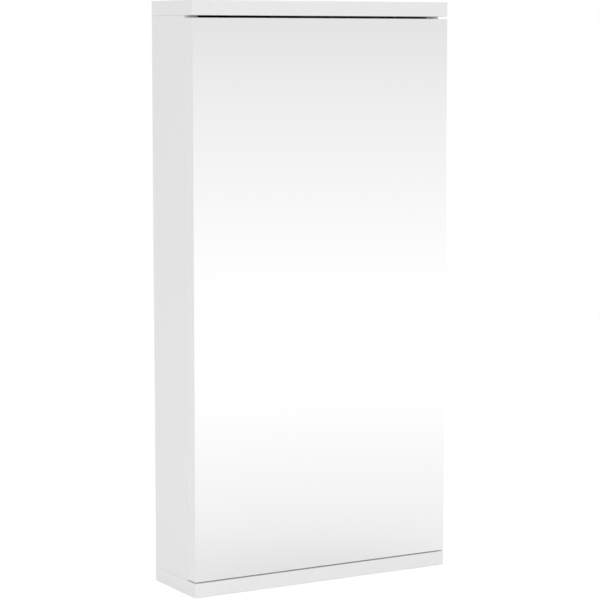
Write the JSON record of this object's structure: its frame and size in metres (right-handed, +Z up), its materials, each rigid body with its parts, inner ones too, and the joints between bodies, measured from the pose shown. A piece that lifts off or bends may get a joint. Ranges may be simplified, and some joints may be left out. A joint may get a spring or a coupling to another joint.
{
  "type": "corner mirror cabinet",
  "caption": "Tall white corner cabinet with 45 degree backs, glass shelves and a mirrored door on concealed cup hinges.",
  "frame": {"origin": "middle of the base, at the height that the cabinet stands on", "axes": "+Z up, -Y out of the mirrored front, +Y into the corner of the room, +X to the hinge side"},
  "size_m": [0.3, 0.24, 0.6],
  "materials": {
    "melamine_board": "white melamine-faced chipboard, satin",
    "edge_band": "white plastic edge band, satin",
    "mirror_glass": "silvered float glass, polished edges",
    "shelf_glass": "clear float glass with a faint green edge",
    "white_silicone": "soft white silicone strip",
    "nickel_steel": "nickel-plated pressed steel",
    "zinc_alloy": "zinc-plated steel",
    "dark_steel": "ground hardened steel pin",
    "white_plastic": "moulded white plastic",
    "beech": "plain turned beech"
  },
  "bodies": {
    "cabinet": {"top_panel": "melamine_board", "bottom_panel": "melamine_board", "left_side_panel": "melamine_board", "right_side_panel": "melamine_board", "left_back_panel": "melamine_board", "right_back_panel": "melamine_board", "panel_edge_bands": "edge_band", "side_edge_bands": "edge_band", "upper_shelf": "shelf_glass", "lower_shelf": "shelf_glass", "upper_shelf_pins": "nickel_steel", "lower_shelf_pins": "nickel_steel", "cam_locks": "zinc_alloy", "cam_bolts": "zinc_alloy", "cam_caps": "white_plastic", "dowels": "beech", "upper_hinge_arm": "nickel_steel", "upper_hinge_arm_pins": "dark_steel", "upper_hinge_plate": "nickel_steel", "upper_hinge_plate_screws": "zinc_alloy", "upper_hinge_adjusters": "zinc_alloy", "lower_hinge_arm": "nickel_steel", "lower_hinge_arm_pins": "dark_steel", "lower_hinge_plate": "nickel_steel", "lower_hinge_plate_screws": "zinc_alloy", "lower_hinge_adjusters": "zinc_alloy"},
    "outer_links": {"upper_hinge_outer_link": "nickel_steel", "lower_hinge_outer_link": "nickel_steel"},
    "inner_links": {"upper_hinge_inner_links": "nickel_steel", "lower_hinge_inner_links": "nickel_steel"},
    "door": {"door_board": "melamine_board", "door_edge_bands": "edge_band", "mirror_glass": "mirror_glass", "door_strip": "white_silicone", "upper_hinge_cup": "nickel_steel", "upper_hinge_cup_screws": "zinc_alloy", "upper_hinge_cup_pin": "dark_steel", "lower_hinge_cup": "nickel_steel", "lower_hinge_cup_screws": "zinc_alloy", "lower_hinge_cup_pin": "dark_steel"}
  },
  "joints": [
    {"name": "outer_link_swing", "type": "hinge", "parent": "cabinet", "child": "outer_links", "pos_m": [0.1302, -0.1016, 0.3], "axis": [0, 0, -1], "range_deg": [0, 31.5]},
    {"name": "door_swing", "type": "hinge", "parent": "outer_links", "child": "door", "pos_m": [0.1424, -0.1087, 0.3], "axis": [0, 0, 1], "range_deg": [0, 126]},
    {"name": "inner_link_swing", "type": "hinge", "parent": "cabinet", "child": "inner_links", "pos_m": [0.116, -0.1057, 0.3], "axis": [0, 0, -1], "range_deg": [0, 29]}
  ],
  "couplings": [
    {"joint": "outer_link_swing", "follows": "door_swing", "ratio": 0.24603},
    {"joint": "inner_link_swing", "follows": "door_swing", "ratio": 0.2254}
  ]
}
